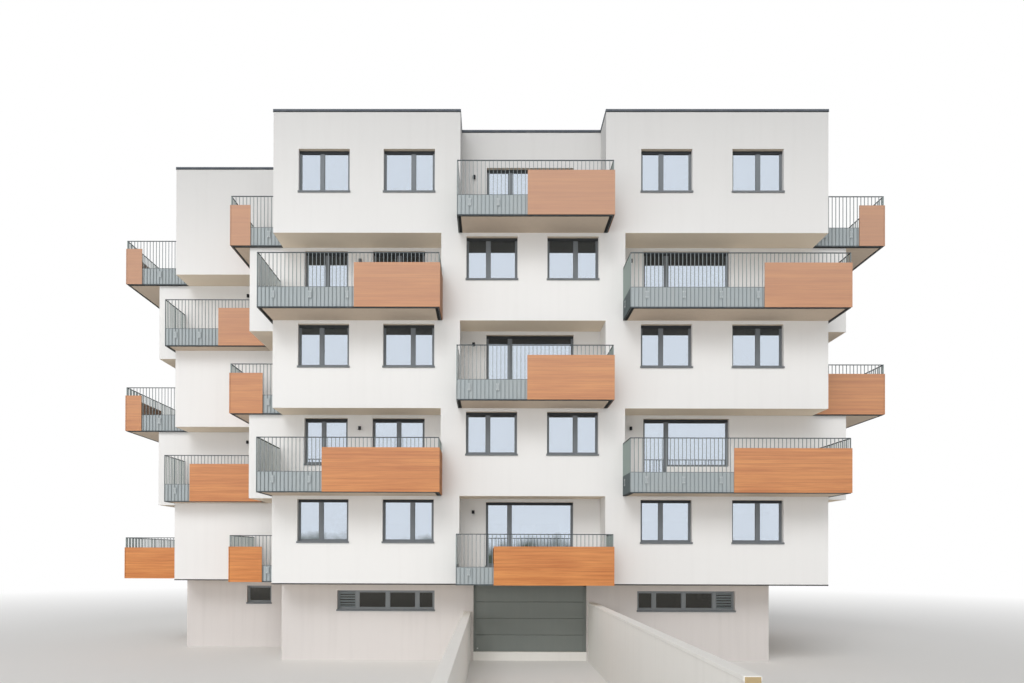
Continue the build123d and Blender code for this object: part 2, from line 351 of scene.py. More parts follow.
def span(tree, value, low, high, to_low=0.0, to_high=1.0):
    """Maps a stretch of values on another."""
    node = tree.nodes.new("ShaderNodeMapRange")
    sockets = ("From Min", "From Max", "To Min", "To Max")
    for socket, number in zip(sockets, (low, high, to_low, to_high)):
        node.inputs[socket].default_value = number
    tree.links.new(value, node.inputs["Value"])
    return node.outputs["Result"]


def calc(tree, operation, *values):
    """A Math node on sockets or numbers."""
    node = tree.nodes.new("ShaderNodeMath")
    node.operation = operation
    for socket, value in zip(node.inputs, values):
        if isinstance(value, (int, float)):
            socket.default_value = value
        else:
            tree.links.new(value, socket)
    return node.outputs[0]


def mix(tree, factor, first, second):
    """Mixes two colours, each a socket or four numbers."""
    node = tree.nodes.new("ShaderNodeMix")
    node.data_type = "RGBA"
    for socket, value in zip((node.inputs[0], *node.inputs[6:8]), (factor, first, second)):
        if hasattr(value, "is_output"):
            tree.links.new(value, socket)
        else:
            socket.default_value = value
    return node.outputs[2]


def relief(tree, height, strength, depth):
    """Feeds a height to the material's shader as bump."""
    bump = tree.nodes.new("ShaderNodeBump")
    bump.inputs["Strength"].default_value = strength
    bump.inputs["Distance"].default_value = depth
    tree.links.new(height, bump.inputs["Height"])
    tree.links.new(bump.outputs["Normal"], tree.nodes["Principled BSDF"].inputs["Normal"])


def colour(red, green, blue):
    """A colour as seen on a screen, 0 to 255, as linear light."""
    def linear(value):
        value /= 255
        return value / 12.92 if value <= 0.04045 else ((value + 0.055) / 1.055) ** 2.4
    return (linear(red), linear(green), linear(blue), 1.0)


# Groups that materials share

def render_group():
    """Fine render: mottled, with faint rain streaks, a sandy grain, undersides in another colour as
    painted light, and painted shade darkening the top.
    """
    group, start, end = new_group(
        "fine_render",
        [
            ("Colour", "NodeSocketColor", (0.8, 0.8, 0.8, 1)),
            ("Soffit", "NodeSocketColor", (0.5, 0.5, 0.5, 1)),
            ("Soiling", "NodeSocketFloat", 0.1),
        ],
        [("Colour", "NodeSocketColor"), ("Height", "NodeSocketFloat")],
    )
    even = stretched(group, (1, 1, 1))
    streak = stretched(group, (5, 5, 0.25))
    patches = span(group, noise(group, even, 0.35, 3), 0.35, 0.7)
    streaks = span(group, noise(group, streak, 1.0, 3), 0.5, 0.75)
    dirt = calc(group, "ADD", calc(group, "MULTIPLY", patches, 0.5), streaks)
    dirt = calc(group, "MULTIPLY", dirt, start["Soiling"])
    # Undersides take the Soffit colour: painted shade and warm light bounced from the ground.
    under = span(group, normal_on(group)["Z"], -0.4, -0.8)
    base = mix(group, under, start["Colour"], start["Soffit"])
    soiled = mix(group, dirt, base, colour(120, 112, 102))
    grain = noise(group, even, 60, 6, 0.7)
    speckle = span(group, grain, 0.3, 0.7, 0.985, 1.015)
    # Painted shade: the render gets darker towards the top of the building.
    painted_top_shade = span(group, place_on(group)["Z"], LEVELS[5] - 1, CAD_BOX[1].z, 1.0, 0.76)
    shade = group.nodes.new("ShaderNodeVectorMath")
    shade.operation = "SCALE"
    group.links.new(soiled, shade.inputs[0])
    group.links.new(calc(group, "MULTIPLY", speckle, painted_top_shade), shade.inputs["Scale"])
    group.links.new(shade.outputs[0], end["Colour"])
    group.links.new(grain, end["Height"])
    return group


def coat_group():
    """Coated metal: an even colour with dust in faint runs and a slight waviness."""
    group, start, end = new_group(
        "coated_metal",
        [
            ("Colour", "NodeSocketColor", (0.2, 0.2, 0.2, 1)),
            ("Dust", "NodeSocketFloat", 0.1),
            ("Gloss", "NodeSocketFloat", 0.4),
        ],
        [
            ("Colour", "NodeSocketColor"),
            ("Roughness", "NodeSocketFloat"),
            ("Height", "NodeSocketFloat"),
        ],
    )
    even = stretched(group, (1, 1, 1))
    fine = noise(group, even, 25, 5, 0.6)
    runs = span(group, noise(group, stretched(group, (6, 6, 0.5)), 1.0, 4), 0.45, 0.75)
    dust = calc(group, "MULTIPLY", runs, start["Dust"])
    group.links.new(mix(group, dust, start["Colour"], colour(190, 186, 178)), end["Colour"])
    rough = calc(group, "ADD", start["Gloss"], span(group, fine, 0.3, 0.7, -0.05, 0.08))
    group.links.new(rough, end["Roughness"])
    group.links.new(noise(group, even, 1.3, 2), end["Height"])
    return group


def grain_group():
    """Wood grain that runs level: long streaks, fine fibres and a tone for each board."""
    group, start, end = new_group(
        "level_grain",
        [
            ("Light", "NodeSocketColor", (0.7, 0.4, 0.2, 1)),
            ("Dark", "NodeSocketColor", (0.4, 0.2, 0.1, 1)),
            ("Bleached", "NodeSocketColor", (0.6, 0.5, 0.4, 1)),
        ],
        [
            ("Colour", "NodeSocketColor"),
            ("Roughness", "NodeSocketFloat"),
            ("Height", "NodeSocketFloat"),
        ],
    )
    streaks = noise(group, stretched(group, (0.45, 0.45, 13)), 1.0, 5, 0.6)
    fibres = noise(group, stretched(group, (1.5, 1.5, 90)), 1.0, 3, 0.6)
    patches = noise(group, stretched(group, (0.5, 0.5, 1.2)), 1.0, 2)
    height = place_on(group)["Z"]
    course = calc(group, "DIVIDE", height, BOARD_HEIGHT)
    chance = group.nodes.new("ShaderNodeTexWhiteNoise")
    chance.noise_dimensions = "1D"
    group.links.new(calc(group, "FLOOR", course), chance.inputs["W"])
    tone = calc(
        group, "ADD",
        span(group, streaks, 0.3, 0.7, 0, 0.75), span(group, fibres, 0.3, 0.7, -0.12, 0.3))
    tone = calc(group, "ADD", tone, span(group, patches, 0.3, 0.7, -0.1, 0.1))
    tone = calc(group, "ADD", tone, span(group, chance.outputs["Value"], 0, 1, -0.14, 0.14))
    joint = calc(group, "LESS_THAN", calc(group, "FRACT", course), 0.05)
    wood = mix(group, tone, start["Dark"], start["Light"])
    wood = mix(group, calc(group, "MULTIPLY", joint, 0.45), wood, colour(92, 56, 36))
    bleaching = span(group, height, LEVELS[1], LEVELS[5], 0.0, 0.75)
    group.links.new(mix(group, bleaching, wood, start["Bleached"]), end["Colour"])
    group.links.new(span(group, fibres, 0.2, 0.8, 0.42, 0.6), end["Roughness"])
    group.links.new(fibres, end["Height"])
    return group


GROUP_MAKERS = {"render": render_group, "coat": coat_group, "grain": grain_group}
GROUPS = {}


def grouped(name):
    """Each shared group, made once."""
    if name not in GROUPS:
        GROUPS[name] = GROUP_MAKERS[name]()
    return GROUPS[name]


# Finishes

def new_material(name):
    """A material with its node tree and its shader's inputs."""
    material = bpy.data.materials.new(name)
    material.use_nodes = True
    tree = material.node_tree
    return material, tree, tree.nodes["Principled BSDF"].inputs


def shade_of(tone):
    """A colour of the settings by its name, or three numbers as seen on a screen."""
    if isinstance(tone, str):
        return (*getattr(bpy.context.scene.block_finish, tone), 1)
    return colour(*tone)


def surface(name, group_name, values, bump, depth, roughness=None, in_panes=None):
    """A material whose colour, and roughness if the group has one, come from a group.

    in_panes is the colour that the panes show of it, a painted reflection.
    """
    material, tree, shader = new_material("finish_" + name)
    group = tree.nodes.new("ShaderNodeGroup")
    group.node_tree = grouped(group_name)
    for label, value in values.items():
        group.inputs[label].default_value = value
    tone = group.outputs["Colour"]
    # Painted reflection: mirror rays see the in_panes colour instead.
    if in_panes:
        path = tree.nodes.new("ShaderNodeLightPath")
        tone = mix(tree, path.outputs["Is Glossy Ray"], tone, colour(*in_panes))
    tree.links.new(tone, shader["Base Color"])
    if roughness is None:
        tree.links.new(group.outputs["Roughness"], shader["Roughness"])
    else:
        shader["Roughness"].default_value = roughness
    relief(tree, group.outputs["Height"], bump, depth)
    return material


def render_finish(name, tone, under=None, soiling=0.05, bump=0.3, roughness=0.85, depth=0.006,
                  in_panes=None):
    """Render, concrete or stone, with another colour on its undersides as painted shade and bounced
    light.
    """
    values = {"Colour": shade_of(tone), "Soffit": shade_of(under or tone), "Soiling": soiling}
    return surface(name, "render", values, bump, depth, roughness, in_panes)


def coat_finish(name, tone, dust=0.05, gloss=0.45, bump=0.1, depth=0.01):
    """Coated metal."""
    values = {"Colour": shade_of(tone), "Dust": dust, "Gloss": gloss}
    return surface(name, "coat", values, bump, depth)


def board_finish(name):
    """Level wood boards, bleached higher up."""
    values = {
        "Light": shade_of("board_light"),
        "Dark": shade_of("board_dark"),
        "Bleached": shade_of("board_bleached"),
    }
    return surface(name, "grain", values, bump=0.15, depth=0.003)


def glass_finish(name, tone, mirror=None):
    """Coated panes: they mirror the sky and let a little of the dark rooms through."""
    material, tree, shader = new_material("finish_" + name)
    if mirror is None:
        mirror = bpy.context.scene.block_finish.glass_mirror
    shader["Base Color"].default_value = tone
    shader["Roughness"].default_value = 0.0
    shader["Metallic"].default_value = mirror
    shader["IOR"].default_value = 1.9
    shader["Transmission Weight"].default_value = 1.0
    relief(tree, noise(tree, stretched(tree, (1, 1, 1)), 0.9, 1), 0.02, 0.02)
    return material


def painted_light_zone(material, tone, above, sideways=False):
    """Paints light and shade into a material: another colour above a height in each storey, or
    there at the sides only.
    """
    tree = material.node_tree
    target = tree.nodes["Principled BSDF"].inputs["Base Color"]
    height = calc(tree, "SUBTRACT", place_on(tree)["Z"], LEVELS[1] - LEVEL_SLACK)
    share = calc(tree, "FRACT", calc(tree, "DIVIDE", height, STOREY))
    mask = calc(tree, "GREATER_THAN", share, above / STOREY)
    if sideways:
        flank = calc(tree, "GREATER_THAN", calc(tree, "ABSOLUTE", normal_on(tree)["X"]), 0.5)
        mask = calc(tree, "MULTIPLY", mask, flank)
    tree.links.new(mix(tree, mask, target.links[0].from_socket, colour(*tone)), target)


# The walls show dark grey in the panes: a painted reflection, darker than the lit wall.
REFLECTED_SHADE_GREY = (88, 88, 84)
WHITE_COAT = {"tone": "render_colour", "bump": 0.12, "depth": 0.004, "in_panes": REFLECTED_SHADE_GREY}
FINISHES = {
    # The walls' and slabs' undersides take the soffit and slab colours as painted light.
    "white_render": (render_finish, {**WHITE_COAT, "under": "soffit_colour", "soiling": 0.02}),
    "slab_render": (render_finish, {**WHITE_COAT, "under": "slab_colour"}),
    "plinth_render": (render_finish, {"tone": "plinth_colour", "roughness": 0.9}),
    # Its darker undersides are painted shade.
    "pale_concrete": (
        render_finish, {"tone": (246, 244, 239), "under": (210, 206, 198), "soiling": 0.03}),
    "bare_end": (render_finish, {"tone": (186, 164, 124), "soiling": 0.2}),
    "floor_concrete": (
        render_finish, {"tone": (150, 148, 144), "soiling": 0.3, "roughness": 0.9}),
    "roof_membrane": (
        render_finish,
        {"tone": (150, 152, 152), "soiling": 0.35, "bump": 0.4, "roughness": 0.9, "depth": 0.01}),
    "deck_slabs": (render_finish, {"tone": (222, 220, 214), "soiling": 0.15}),
    "dark_frame": (coat_finish, {"tone": "frame_colour", "gloss": 0.42}),
    "cellar_frame": (coat_finish, {"tone": (142, 147, 150), "gloss": 0.42}),
    # Window heads: dark strips of painted shade under the lintels.
    "dark_head": (coat_finish, {"tone": (54, 57, 60), "dust": 0.02, "gloss": 0.5}),
    "sill_sheet": (coat_finish, {"tone": (112, 117, 120), "dust": 0.1, "gloss": 0.4}),
    "bar_coat": (coat_finish, {"tone": "bar_colour"}),
    # Side bars: painted shade, darker than the front bars below the sheets' top.
    "side_bars": (coat_finish, {"tone": (102, 111, 112)}),
    "rail_coat": (coat_finish, {"tone": "rail_colour", "dust": 0.08}),
    "grey_sheet": (
        coat_finish,
        {"tone": "sheet_colour", "dust": 0.15, "gloss": 0.5, "bump": 0.3, "depth": 0.02}),
    "coping_sheet": (
        coat_finish,
        {"tone": (86, 92, 100), "dust": 0.1, "gloss": 0.4, "bump": 0.3, "depth": 0.02}),
    "door_sheet": (
        coat_finish,
        {"tone": "door_colour", "dust": 0.03, "gloss": 0.5, "bump": 0.25, "depth": 0.02}),
    "zinc_bolt": (coat_finish, {"tone": (205, 208, 208), "dust": 0.1, "gloss": 0.3}),
    "lamp_black": (coat_finish, {"tone": (30, 31, 33), "gloss": 0.4}),
    "level_boards": (board_finish, {}),
    "window_glass": (glass_finish, {"tone": (0.90, 0.93, 0.96, 1)}),
    "cellar_glass": (glass_finish, {"tone": (0.30, 0.28, 0.26, 1), "mirror": 0.3}),
}

# Painted light and shade: the tone of a finish above a height in each storey, and True if it is
# there at the sides only
PAINTED_LIGHT_ZONES = {
    # Side handrails go near black: painted shade, as seen from below.
    "rail_coat": [((30, 32, 30), RAIL_FOOT, True)],
    # Side bars go lighter above the sheets' top: painted light.
    "side_bars": [((152, 163, 158), SHEET_TOP, False)],
    # Sheets go near white above the low sheets' top as painted light, and near black at the
    # handrail as painted shade.
    "grey_sheet": [((240, 246, 246), SHEET_TOP + 0.01, False), ((40, 42, 40), RAIL_FOOT, False)],
}


def finish_of(name):
    """Each finish of the building, made once."""
    if "finish_" + name in bpy.data.materials:
        return bpy.data.materials["finish_" + name]
    maker, values = FINISHES[name]
    material = maker(name, **values)
    for tone, above, sideways in PAINTED_LIGHT_ZONES.get(name, []):
        painted_light_zone(material, tone, above, sideways)
    return material


def coat_node(node, finish):
    """Gives a CAD node its finish."""
    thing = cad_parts[node]
    thing.data.materials.clear()
    thing.data.materials.append(finish_of(finish))


def refinish(node, finish, chosen):
    """Gives the faces of a node that are chosen, by their place, another finish."""
    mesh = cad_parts[node].data
    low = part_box(node)[0]
    mesh.materials.append(finish_of(finish))
    for face in mesh.polygons:
        if chosen(face, low):
            face.material_index = 1


# Sizes and colours that a user would change

def tint(name, red, green, blue, description):
    return bpy.props.FloatVectorProperty(
        name=name, description=description, subtype="COLOR", size=3, min=0, max=1,
        default=colour(red, green, blue)[:3])


def length(name, default, description):
    return bpy.props.FloatProperty(
        name=name, description=description, unit="LENGTH", default=default, min=0.0)


class BlockFinish(bpy.types.PropertyGroup):
    render_colour: tint("Render", 240, 239, 237, "Colour of the walls")
    # The underside colours are painted light: warm bounced light, and shade under the balconies.
    soffit_colour: tint("Soffit", 250, 234, 212, "Colour of the storeys' undersides")
    slab_colour: tint("Slabs", 218, 200, 180, "Colour of the balconies' undersides")
    plinth_colour: tint("Plinth", 218, 213, 210, "Colour of the garage storey's walls")
    frame_colour: tint("Frames", 118, 123, 127, "Colour of the window frames")
    rail_colour: tint("Railings", 72, 80, 84, "Colour of the railings")
    bar_colour: tint("Bars", 140, 148, 150, "Colour of the railings' upright bars")
    sheet_colour: tint("Sheets", 172, 180, 182, "Colour of the balcony sheets")
    door_colour: tint("Garage door", 132, 138, 134, "Colour of the garage door")
    board_light: tint("Boards, light", 232, 158, 92, "Light streaks of the boards")
    board_dark: tint("Boards, dark", 192, 114, 62, "Dark streaks of the boards")
    board_bleached: tint("Boards, bleached", 190, 156, 136, "Colour of the highest boards")
    glass_mirror: bpy.props.FloatProperty(
        name="Mirror", description="How strongly the panes mirror the sky",
        default=0.7, min=0, max=1)


class BlockSizes(bpy.types.PropertyGroup):
    sash_border: length("Sash", 0.02, "Width of a sash's face")
    sash_depth: length("Sash depth", 0.05, "Depth of a sash")
    # The heads are dark strips of painted shade under the lintels.
    head_height: length("Heads", 0.1, "Height of the blind boxes")
    sill_reach: length("Sill", 0.04, "How far a window sill stands out from the wall")
    bar_width: length("Bars", 0.018, "Width of a railing's upright bars")
    plate_spacing: length("Plate spacing", 1.2, "Distance between a railing's wall plates")


# Operators

class BLOCK_OT_surfaces(bpy.types.Operator):
    """Gives every solid that stays as it is its finish"""
    bl_idname = "block.surfaces"
    bl_label = "Surfaces"

    # The first line whose words are in a node's name gives its finish
    NODES = (
        ("garage_front_and_rear_walls", "plinth_render"),
        ("garage_side_walls", "plinth_render"),
        ("garage_threshold", "pale_concrete"),
        ("garage_floor", "floor_concrete"),
        ("garage_door", "door_sheet"),
        ("ramp_walls", "pale_concrete"),
        ("roof_slab", "roof_membrane"),
        ("parapet_coping", "coping_sheet"),
        ("balcony_boards", "level_boards"),
        ("balcony_sheets", "grey_sheet"),
        ("railings", "rail_coat"),
        ("garage_window_frames", "cellar_frame"),
        ("window_frames", "dark_frame"),
        ("garage_glass", "cellar_glass"),
        ("glass", "window_glass"),
        ("slabs", "slab_render"),
        ("floor", "white_render"),
        ("walls", "white_render"),
    )

    def execute(self, context):
        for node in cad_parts:
            coat_node(node, next(finish for words, finish in self.NODES if words in node))
            # The railings' lowest faces go near black: painted shade, as seen from below.
            if "railings" in node:
                refinish(node, "lamp_black", lambda face, low: face.center.z < low.z + TOUCH)
            if node == "ramp_walls":
                refinish(node, "bare_end", lambda face, low: face.center.y < low.y + TOUCH)
        return {"FINISHED"}


class BLOCK_OT_sashes(bpy.types.Operator):
    """Models a sash round every pane of glass"""
    bl_idname = "block.sashes"
    bl_label = "Sashes"

    def execute(self, context):
        sizes = context.scene.block_sizes
        sash = ring("sash", sizes.sash_border, sizes.sash_depth, 0.004)
        proud = 0.4 * sizes.sash_depth
        for node, floor in window_nodes("glass"):
            pieces = []
            for box in solids(node):
                place, width = facing(box, floor)
                place = place @ Matrix.Translation((0, -proud, 0))
                pieces.append(copy_of(sash, place, width, box[1].z - box[0].z))
            finish = "cellar_frame" if floor == "garage_floor" else "dark_frame"
            join(pieces, node.replace("glass", "sashes"), finish)
        drop(sash)
        return {"FINISHED"}


class BLOCK_OT_heads(bpy.types.Operator):
    """Models a dark strip at the head of every window above the garage, painted shade under the
    lintel
    """
    bl_idname = "block.heads"
    bl_label = "Window heads"

    def execute(self, context):
        tall = context.scene.block_sizes.head_height
        depth, proud = 0.05, 0.01
        head = block("head", (1, depth, tall), (0.5, depth / 2 - proud, tall / 2), 0.006)
        for node, floor in window_nodes("window_frames"):
            if floor == "garage_floor":
                continue
            pieces = []
            for box in solids(node):
                place, width = facing(box, floor)
                lift = box[1].z - box[0].z - tall
                pieces.append(copy_of(head, place @ Matrix.Translation((0, 0, lift)), width))
            name = node.replace("window_frames", "window_heads")
            join(pieces, name, "dark_head")
        drop(head)
        return {"FINISHED"}


class BLOCK_OT_sills(bpy.types.Operator):
    """Models a folded sheet sill under every window"""
    bl_idname = "block.sills"
    bl_label = "Window sills"

    def execute(self, context):
        reach = context.scene.block_sizes.sill_reach
        ear, fold, thickness = 0.025, 0.06, 0.012
        plate = block("sill", (1, REVEAL, thickness), (0.5, REVEAL / 2, thickness / 2), 0.002)
        lip = block("lip", (1 + 2 * ear, reach, fold), (0.5, -reach / 2, 0.01 - fold / 2), 0.004)
        sill = fuse([plate, lip])
        for node, floor in window_nodes("window_frames"):
            pieces = []
            for box in solids(node):
                place, width = facing(box, floor)
                pieces.append(copy_of(sill, place @ Matrix.Translation((0, -REVEAL, 0)), width))
            name = node.replace("window_frames", "window_sills")
            join(pieces, name, "sill_sheet")
        drop(sill)
        return {"FINISHED"}


class BLOCK_OT_edges(bpy.types.Operator):
    """Models the drip under the coping and the dark profile at the foot of the first storey"""
    bl_idname = "block.edges"
    bl_label = "Edge profiles"

    DEPTH = 0.03
    DRIP = 0.035
    DRIP_LAP = 0.012
    PROFILE = 0.04
    PROFILE_DROP = 0.035

    def execute(self, context):
        drip = block("drip", (1, self.DEPTH, self.DRIP), (0.5, 0.0, self.DRIP / 2), 0.003)
        low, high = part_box("storey_5_side_walls")
        pieces = along_walls(5, drip, high.z - low.z - self.DRIP_LAP, reach=0.019)
        join(pieces, "coping_drip", "rail_coat")
        drop(drip)
        size = (1, self.DEPTH, self.PROFILE)
        profile = block("profile", size, (0.5, 0.01, self.PROFILE / 2), 0.003)
        pieces = along_walls(1, profile, -FLOOR_EDGE - self.PROFILE_DROP, reach=0.005)
        join(pieces, "base_profile", "lamp_black")
        drop(profile)
        return {"FINISHED"}


def bar_places(group, floor):
    """The foot of each upright bar in a railing panel, with the bars' height."""
    low, high = box_round(group)
    place, width = facing((low, high), floor)
    back = place.inverted()
    foot = low.z + BOTTOM_RAIL
    marks = {round((back @ co).x, 3) for co in group if abs(co.z - foot) < TOUCH}
    marks = [0.0, *sorted(marks - {0.0, round(width, 3)}), width]
    tall = high.z - low.z - BOTTOM_RAIL - TOP_RAIL
    for start, end in zip(marks[0::2], marks[1::2]):
        yield place @ Matrix.Translation(((start + end) / 2, 0, BOTTOM_RAIL)), tall


class BLOCK_OT_bars(bpy.types.Operator):
    """Models a pale flat bar round every upright of the railings"""
    bl_idname = "block.bars"
    bl_label = "Railing bars"

    DEPTH = 0.028
    CENTRE = (0, 0.0105, 0.5)

    def execute(self, context):
        wide = context.scene.block_sizes.bar_width
        bar = block("bar", (wide, self.DEPTH, 1), self.CENTRE, 0.002)
        for storey in STOREYS:
            front, side = [], []
            for group in shells(f"storey_{storey}_railings"):
                low, high = box_round(group)
                if high.z - low.z > LOWEST_PANEL:
                    pieces = side if high.x - low.x < high.y - low.y else front
                    for place, tall in bar_places(group, f"storey_{storey}_balcony_slabs"):
                        pieces.append(copy_of(bar, place, 1, tall))
            join(front, f"storey_{storey}_front_bars", "bar_coat")
            # The side bars get painted shade below the sheets' top and painted light above.
            join(side, f"storey_{storey}_side_bars", "side_bars")
        drop(bar)
        return {"FINISHED"}


class BLOCK_OT_railing_parts(bpy.types.Operator):
    """Models a cap on every balcony sheet, and wall plates with pale bolts"""
    bl_idname = "block.railing_parts"
    bl_label = "Railing parts"

    LONG_SHEET = 5.5
    SHORT_SPACING = 0.77
    FIRST_PLATE = 0.42
    END_MARGIN = 0.1
    BOARD_MARGIN = 0.12
    PLATE_OUT = 0.031
    PLATE_LIFT = 0.43
    BOLT_SPOTS = [(x, -0.012, z) for x in (-0.032, 0.032) for z in (-0.085, 0.085)]
    BOLT_RADIUS = 0.016

    def execute(self, context):
        cap = block("cap", (1, 0.016, 0.014), (0.5, 0.005, 0.0), 0.002)
        plate = block("plate", (0.1, 0.006, 0.25), (0, -0.003, 0), 0.002)
        bolts = fuse([bolt_head(spot, self.BOLT_RADIUS) for spot in self.BOLT_SPOTS])
        caps, plates, heads = [], [], []
        boards = solids("balcony_boards")
        for box in solids("balcony_sheets"):
            place, width = facing(box, f"storey_{storey_at(box[0].z)}_balcony_slabs")
            top = place @ Matrix.Translation((0, 0, box[1].z - box[0].z))
            caps.append(copy_of(cap, top, width))
            spacing = context.scene.block_sizes.plate_spacing
            if width <= self.LONG_SHEET:
                spacing *= self.SHORT_SPACING
            across = self.FIRST_PLATE * spacing
            while across < width - self.END_MARGIN:
                spot = place @ Matrix.Translation((across, -self.PLATE_OUT, self.PLATE_LIFT))
                if not any(inside(spot.translation, board, self.BOARD_MARGIN) for board in boards):
                    plates.append(copy_of(plate, spot))
                    heads.append(copy_of(bolts, spot))
                across += spacing
        join(caps, "sheet_caps", "rail_coat")
        join(plates, "railing_plates", "grey_sheet")
        join(heads, "railing_bolts", "zinc_bolt")
        drop(cap, plate, bolts)
        return {"FINISHED"}


class BLOCK_OT_lamps(bpy.types.Operator):
    """Models a round black wall lamp beside each balcony door"""
    bl_idname = "block.lamps"
    bl_label = "Wall lamps"

    RADIUS = 0.05
    HEIGHT = 0.12
    BESIDE_DOOR = 0.52
    OVER_LEVEL = 2.52
    WING_SPOT = (-9.5, -3.97)
    WING_OVER_LEVEL = 2.58
    NEXT_PANE = 0.13
    SAME_PLACE = 0.1

    def execute(self, context):
        deselect()
        bpy.ops.mesh.primitive_cylinder_add(
            vertices=20, radius=self.RADIUS, depth=self.HEIGHT, location=(0, -0.06, 0))
        body = applied("lamp")
        bevel_edges(body, 0.006, 2)
        lamp = fuse([body, block("arm", (0.06, 0.03, 0.08), (0, -0.005, 0), 0.004)])
        pieces = []
        for storey in STOREYS:
            level = LEVELS[storey]
            doors = [
                facing(box, f"storey_{storey}_floor")
                for box in solids(f"storey_{storey}_glass") if box[0].z < level + DOOR_FOOT_BELOW]
            for place, _ in doors:
                beside = place @ Vector((-self.NEXT_PANE, 0, 0))
                ends = (other @ Vector((width, 0, 0)) for other, width in doors)
                if any((end - beside).length < self.SAME_PLACE for end in ends):
                    continue
                lift = level + self.OVER_LEVEL - place.translation.z
                spot = Matrix.Translation((-self.BESIDE_DOOR, -GLASS_DEPTH, lift))
                pieces.append(copy_of(lamp, place @ spot))
            if storey % 2 == 0:
                for turned in (0, math.pi):
                    spot = Matrix.Translation((*self.WING_SPOT, level + self.WING_OVER_LEVEL))
                    pieces.append(copy_of(lamp, Matrix.Rotation(turned, 4, "Z") @ spot))
        join(pieces, "wall_lamps", "lamp_black")
        drop(lamp)
        return {"FINISHED"}


class BLOCK_OT_garage_door(bpy.types.Operator):
    """Models the garage door's four panels, its side rails and its handle"""
    bl_idname = "block.garage_door"
    bl_label = "Garage door"

    PANELS = 4
    PANEL_DEPTH = 0.045
    SEAM = 0.008
    BACKING = 0.02
    RAIL = 0.08
    HEAD_RAIL = 0.06
    RAIL_DEPTH = 0.03
    RAIL_OUT = 0.012
    HANDLE_SPOT = (0.145, -0.004, 0.11)
    HANDLE_RADIUS = 0.03

    def execute(self, context):
        low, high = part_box("garage_door")
        size, middle = high - low, (low + high) / 2
        share = size.z / self.PANELS
        panel = (size.x, self.PANEL_DEPTH, share - self.SEAM)
        panels = []
        for number in range(self.PANELS):
            centre = (middle.x, middle.y, low.z + (number + 0.5) * share)
            panels.append(block("panel", panel, centre, 0.012))
        behind = (middle.x, high.y - self.BACKING / 2, middle.z)
        panels.append(block("backing", (size.x, self.BACKING, size.z), behind))
        door = join(panels, "garage_door_panels", "door_sheet")
        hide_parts("garage_door")
        rails = []
        line = low.y - self.RAIL_OUT
        for x in (low.x + self.RAIL / 2, high.x - self.RAIL / 2):
            upright = (self.RAIL, self.RAIL_DEPTH, size.z)
            rails.append(block("rail", upright, (x, line, middle.z), 0.004))
        across = (size.x, self.RAIL_DEPTH, self.HEAD_RAIL)
        rails.append(block("rail", across, (middle.x, line, high.z - self.HEAD_RAIL / 2), 0.004))
        join(rails, "garage_door_rails", "door_sheet")
        handle = bolt_head(low + Vector(self.HANDLE_SPOT), self.HANDLE_RADIUS)
        join([handle], "garage_door_handle", "zinc_bolt")
        return {"FINISHED"}


class BLOCK_OT_louvres(bpy.types.Operator):
    """Models slanting blades in the end light of each long cellar window"""
    bl_idname = "block.louvres"
    bl_label = "Cellar louvres"

    BLADES = 6
    WIDTH = 0.085
    THICKNESS = 0.008
    SLANT = -50
    MARGIN = 0.04
    PROUD = 0.03
    FRONT_BEFORE = -3

    def execute(self, context):
        blade = block("blade", (1, self.WIDTH, self.THICKNESS), (0.5, 0, 0), 0.002)
        blade.data.transform(Matrix.Rotation(math.radians(self.SLANT), 4, "X"))
        narrowest, widest = END_LIGHT_WIDTHS
        pieces = []
        for box in solids("garage_glass"):
            place, width = facing(box, "garage_floor")
            if not narrowest < width < widest or place.translation.y > self.FRONT_BEFORE:
                continue
            rise = (box[1].z - box[0].z - 2 * self.MARGIN) / (self.BLADES - 1)
            for number in range(self.BLADES):
                lift = self.MARGIN + number * rise
                spot = place @ Matrix.Translation((0, -self.PROUD, lift))
                pieces.append(copy_of(blade, spot, width))
        join(pieces, "cellar_louvres", "bar_coat")
        drop(blade)
        return {"FINISHED"}


class BLOCK_OT_copings(bpy.types.Operator):
    """Models the cap stones on the walls beside the drive"""
    bl_idname = "block.copings"
    bl_label = "Drive wall caps"

    STONES = 4
    JOINT = 0.012
    THICKNESS = 0.07
    PROUD = 0.01
    OVERHANG = 0.015

    def execute(self, context):
        stones = []
        for low, high in solids("ramp_walls"):
            share = (high.y - low.y) / self.STONES
            size = (high.x - low.x + 2 * self.OVERHANG, share - self.JOINT, self.THICKNESS)
            across, lift = (low.x + high.x) / 2, high.z + self.PROUD - self.THICKNESS / 2
            for number in range(self.STONES):
                centre = (across, high.y - (number + 0.5) * share, lift)
                stones.append(block("stone", size, centre, 0.006))
        join(stones, "drive_wall_caps", "pale_concrete")
        return {"FINISHED"}


class BLOCK_OT_decks(bpy.types.Operator):
    """Models the slabs on the balconies"""
    bl_idname = "block.decks"
    bl_label = "Decks"

    MARGIN = 0.12
    THICKNESS = 0.03

    def execute(self, context):
        decks = []
        for storey in STOREYS:
            for low, high in solids(f"storey_{storey}_balcony_slabs"):
                middle = (low + high) / 2
                size = high - low - 2 * self.MARGIN * Vector((1, 1, 0))
                size.z = self.THICKNESS
                centre = (middle.x, middle.y, high.z + self.THICKNESS / 2)
                decks.append(block("deck", size, centre, 0.004))
        join(decks, "balcony_decks", "deck_slabs")
        return {"FINISHED"}


